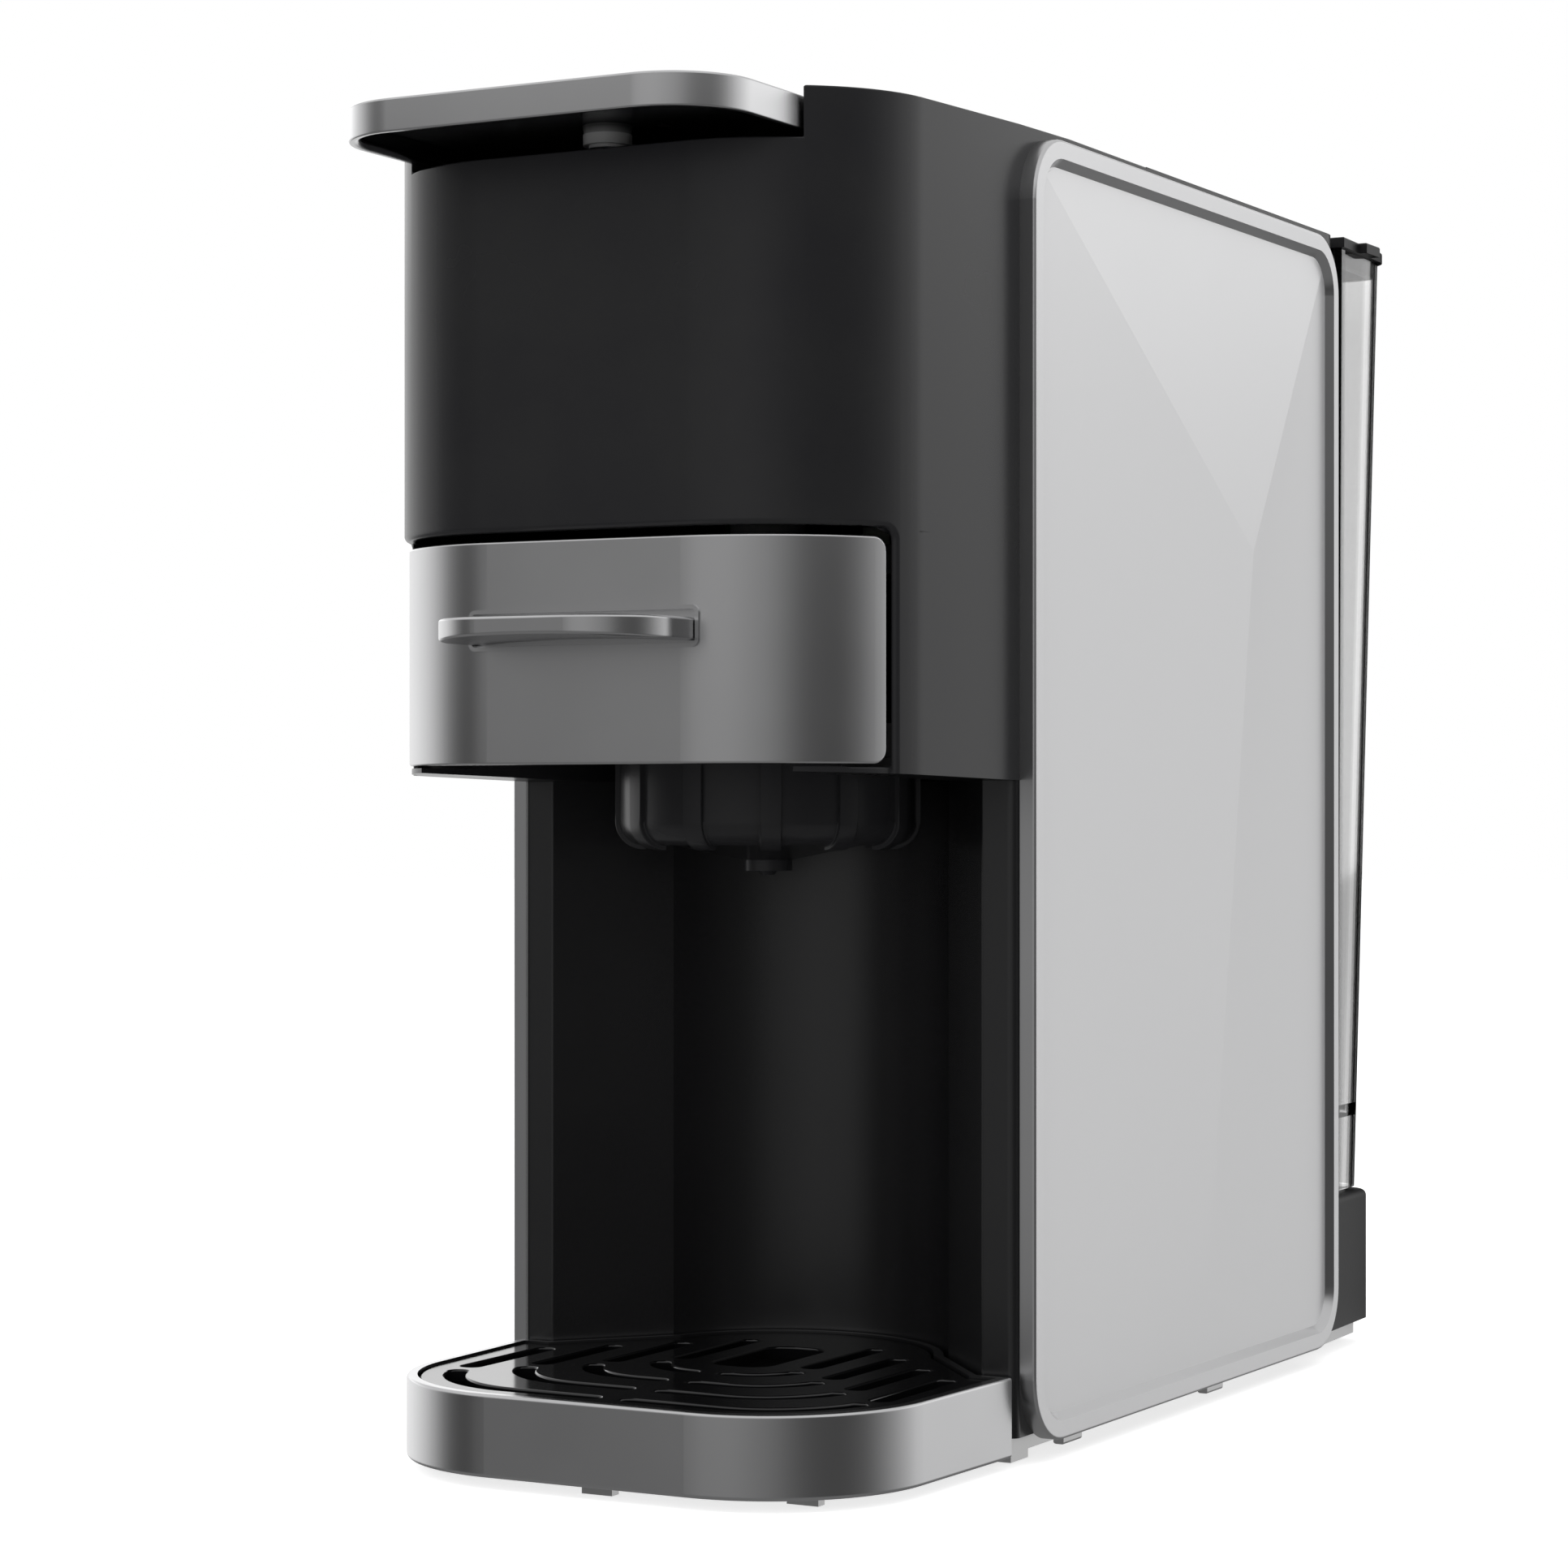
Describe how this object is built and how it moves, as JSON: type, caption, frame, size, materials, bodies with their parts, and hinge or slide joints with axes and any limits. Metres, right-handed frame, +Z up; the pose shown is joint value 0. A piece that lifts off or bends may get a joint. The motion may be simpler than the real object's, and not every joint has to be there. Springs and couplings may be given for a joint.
{
  "type": "pod coffee machine",
  "caption": "Compact pod coffee machine with a lift lever, a pull-out capsule drawer, a cup bay over a drip tray, silver side panels and a clear rear water tank.",
  "frame": {"origin": "centre of the footprint's bounding box at table level", "axes": "+Z up, -Y to the front where the lever and drawer are, +Y to the water tank, +X to the right as seen from the front"},
  "size_m": [0.13, 0.3328, 0.2784],
  "materials": {
    "silver": "satin silver paint",
    "pewter": "satin metallic grey paint",
    "black": "satin black moulding",
    "gloss_black": "gloss black moulding",
    "dark_grey": "fine matt dark grey moulding",
    "light_grey": "matt light grey moulding",
    "clear": "clear moulding",
    "rubber": "matt",
    "hose": "translucent silicone",
    "matt_black": "matt black moulding",
    "steel": "brushed",
    "satin_metal": "satin",
    "aluminium": "as cast",
    "copper_coil": "varnished laminations and winding",
    "board": "green board",
    "inner": "plain inner moulding"
  },
  "bodies": {
    "machine": {"base_feet": "light_grey", "base_pan": "light_grey", "base_screws": "steel", "board_parts": "inner", "brew_frame": "inner", "button_board": "board", "button_switches": "inner", "column_cover": "black", "control_board": "board", "drawer_rail_left": "inner", "drawer_rail_right": "inner", "flow_meter": "inner", "head_shell": "black", "heater": "aluminium", "hose_brew": "hose", "hose_heater": "hose", "hose_pump": "hose", "hose_tank": "hose", "inner_shelf": "inner", "lever_axle": "steel", "mains_gland": "black", "pump_body": "inner", "pump_coil": "copper_coil", "pump_mount": "rubber", "rear_case": "black", "side_panel_left": "silver", "side_panel_right": "silver", "tank_seat": "dark_grey", "top_cover": "black", "valve_seal": "rubber"},
    "lever": {"lever_cover": "pewter", "lever_liner": "black", "lever_stud": "satin_metal"},
    "injector": {"injector_piston": "inner", "spray_plate": "steel"},
    "drawer": {"drawer_front": "pewter", "drawer_handle": "pewter", "drawer_carriage": "black", "capsule_holder": "black", "capsule_adapter": "dark_grey", "coffee_spout": "black"},
    "tray": {"drip_tray": "pewter", "tray_feet": "light_grey"},
    "grille": {"drip_grille": "gloss_black"},
    "tank": {"water_tank": "clear", "tank_valve": "black"},
    "lid": {"tank_lid": "matt_black"},
    "power_button": {"button_power": "pewter"},
    "short_button": {"button_short": "pewter"},
    "long_button": {"button_long": "pewter"}
  },
  "joints": [
    {"name": "lever_hinge", "type": "hinge", "parent": "machine", "child": "lever", "pos_m": [0, -0.01065, 0.2665], "axis": [-1, 0, 0], "range_deg": [0, 80]},
    {"name": "injector_slide", "type": "slide", "parent": "machine", "child": "injector", "axis": [0, 0, 1], "range_m": [0, 0.012]},
    {"name": "drawer_slide", "type": "slide", "parent": "machine", "child": "drawer", "axis": [0, -1, 0], "range_m": [0, 0.095]},
    {"name": "tray_slide", "type": "slide", "parent": "machine", "child": "tray", "axis": [0, -1, 0], "range_m": [0, 0.09]},
    {"name": "grille_lift", "type": "slide", "parent": "tray", "child": "grille", "axis": [0, 0, 1], "range_m": [0, 0.05]},
    {"name": "tank_lift", "type": "slide", "parent": "machine", "child": "tank", "axis": [0, 0, 1], "range_m": [0, 0.08]},
    {"name": "lid_lift", "type": "slide", "parent": "tank", "child": "lid", "axis": [0, 0, 1], "range_m": [0, 0.04]},
    {"name": "power_press", "type": "slide", "parent": "machine", "child": "power_button", "axis": [0, 0, -1], "range_m": [0, 0.0015], "stiffness_N_per_m": 400, "springref_m": -0.0015},
    {"name": "short_press", "type": "slide", "parent": "machine", "child": "short_button", "axis": [0, 0, -1], "range_m": [0, 0.0015], "stiffness_N_per_m": 400, "springref_m": -0.0015},
    {"name": "long_press", "type": "slide", "parent": "machine", "child": "long_button", "axis": [0, 0, -1], "range_m": [0, 0.0015], "stiffness_N_per_m": 400, "springref_m": -0.0015}
  ],
  "couplings": [
    {"joint": "injector_slide", "follows": "lever_hinge", "m_per_rad": 0.0085}
  ]
}
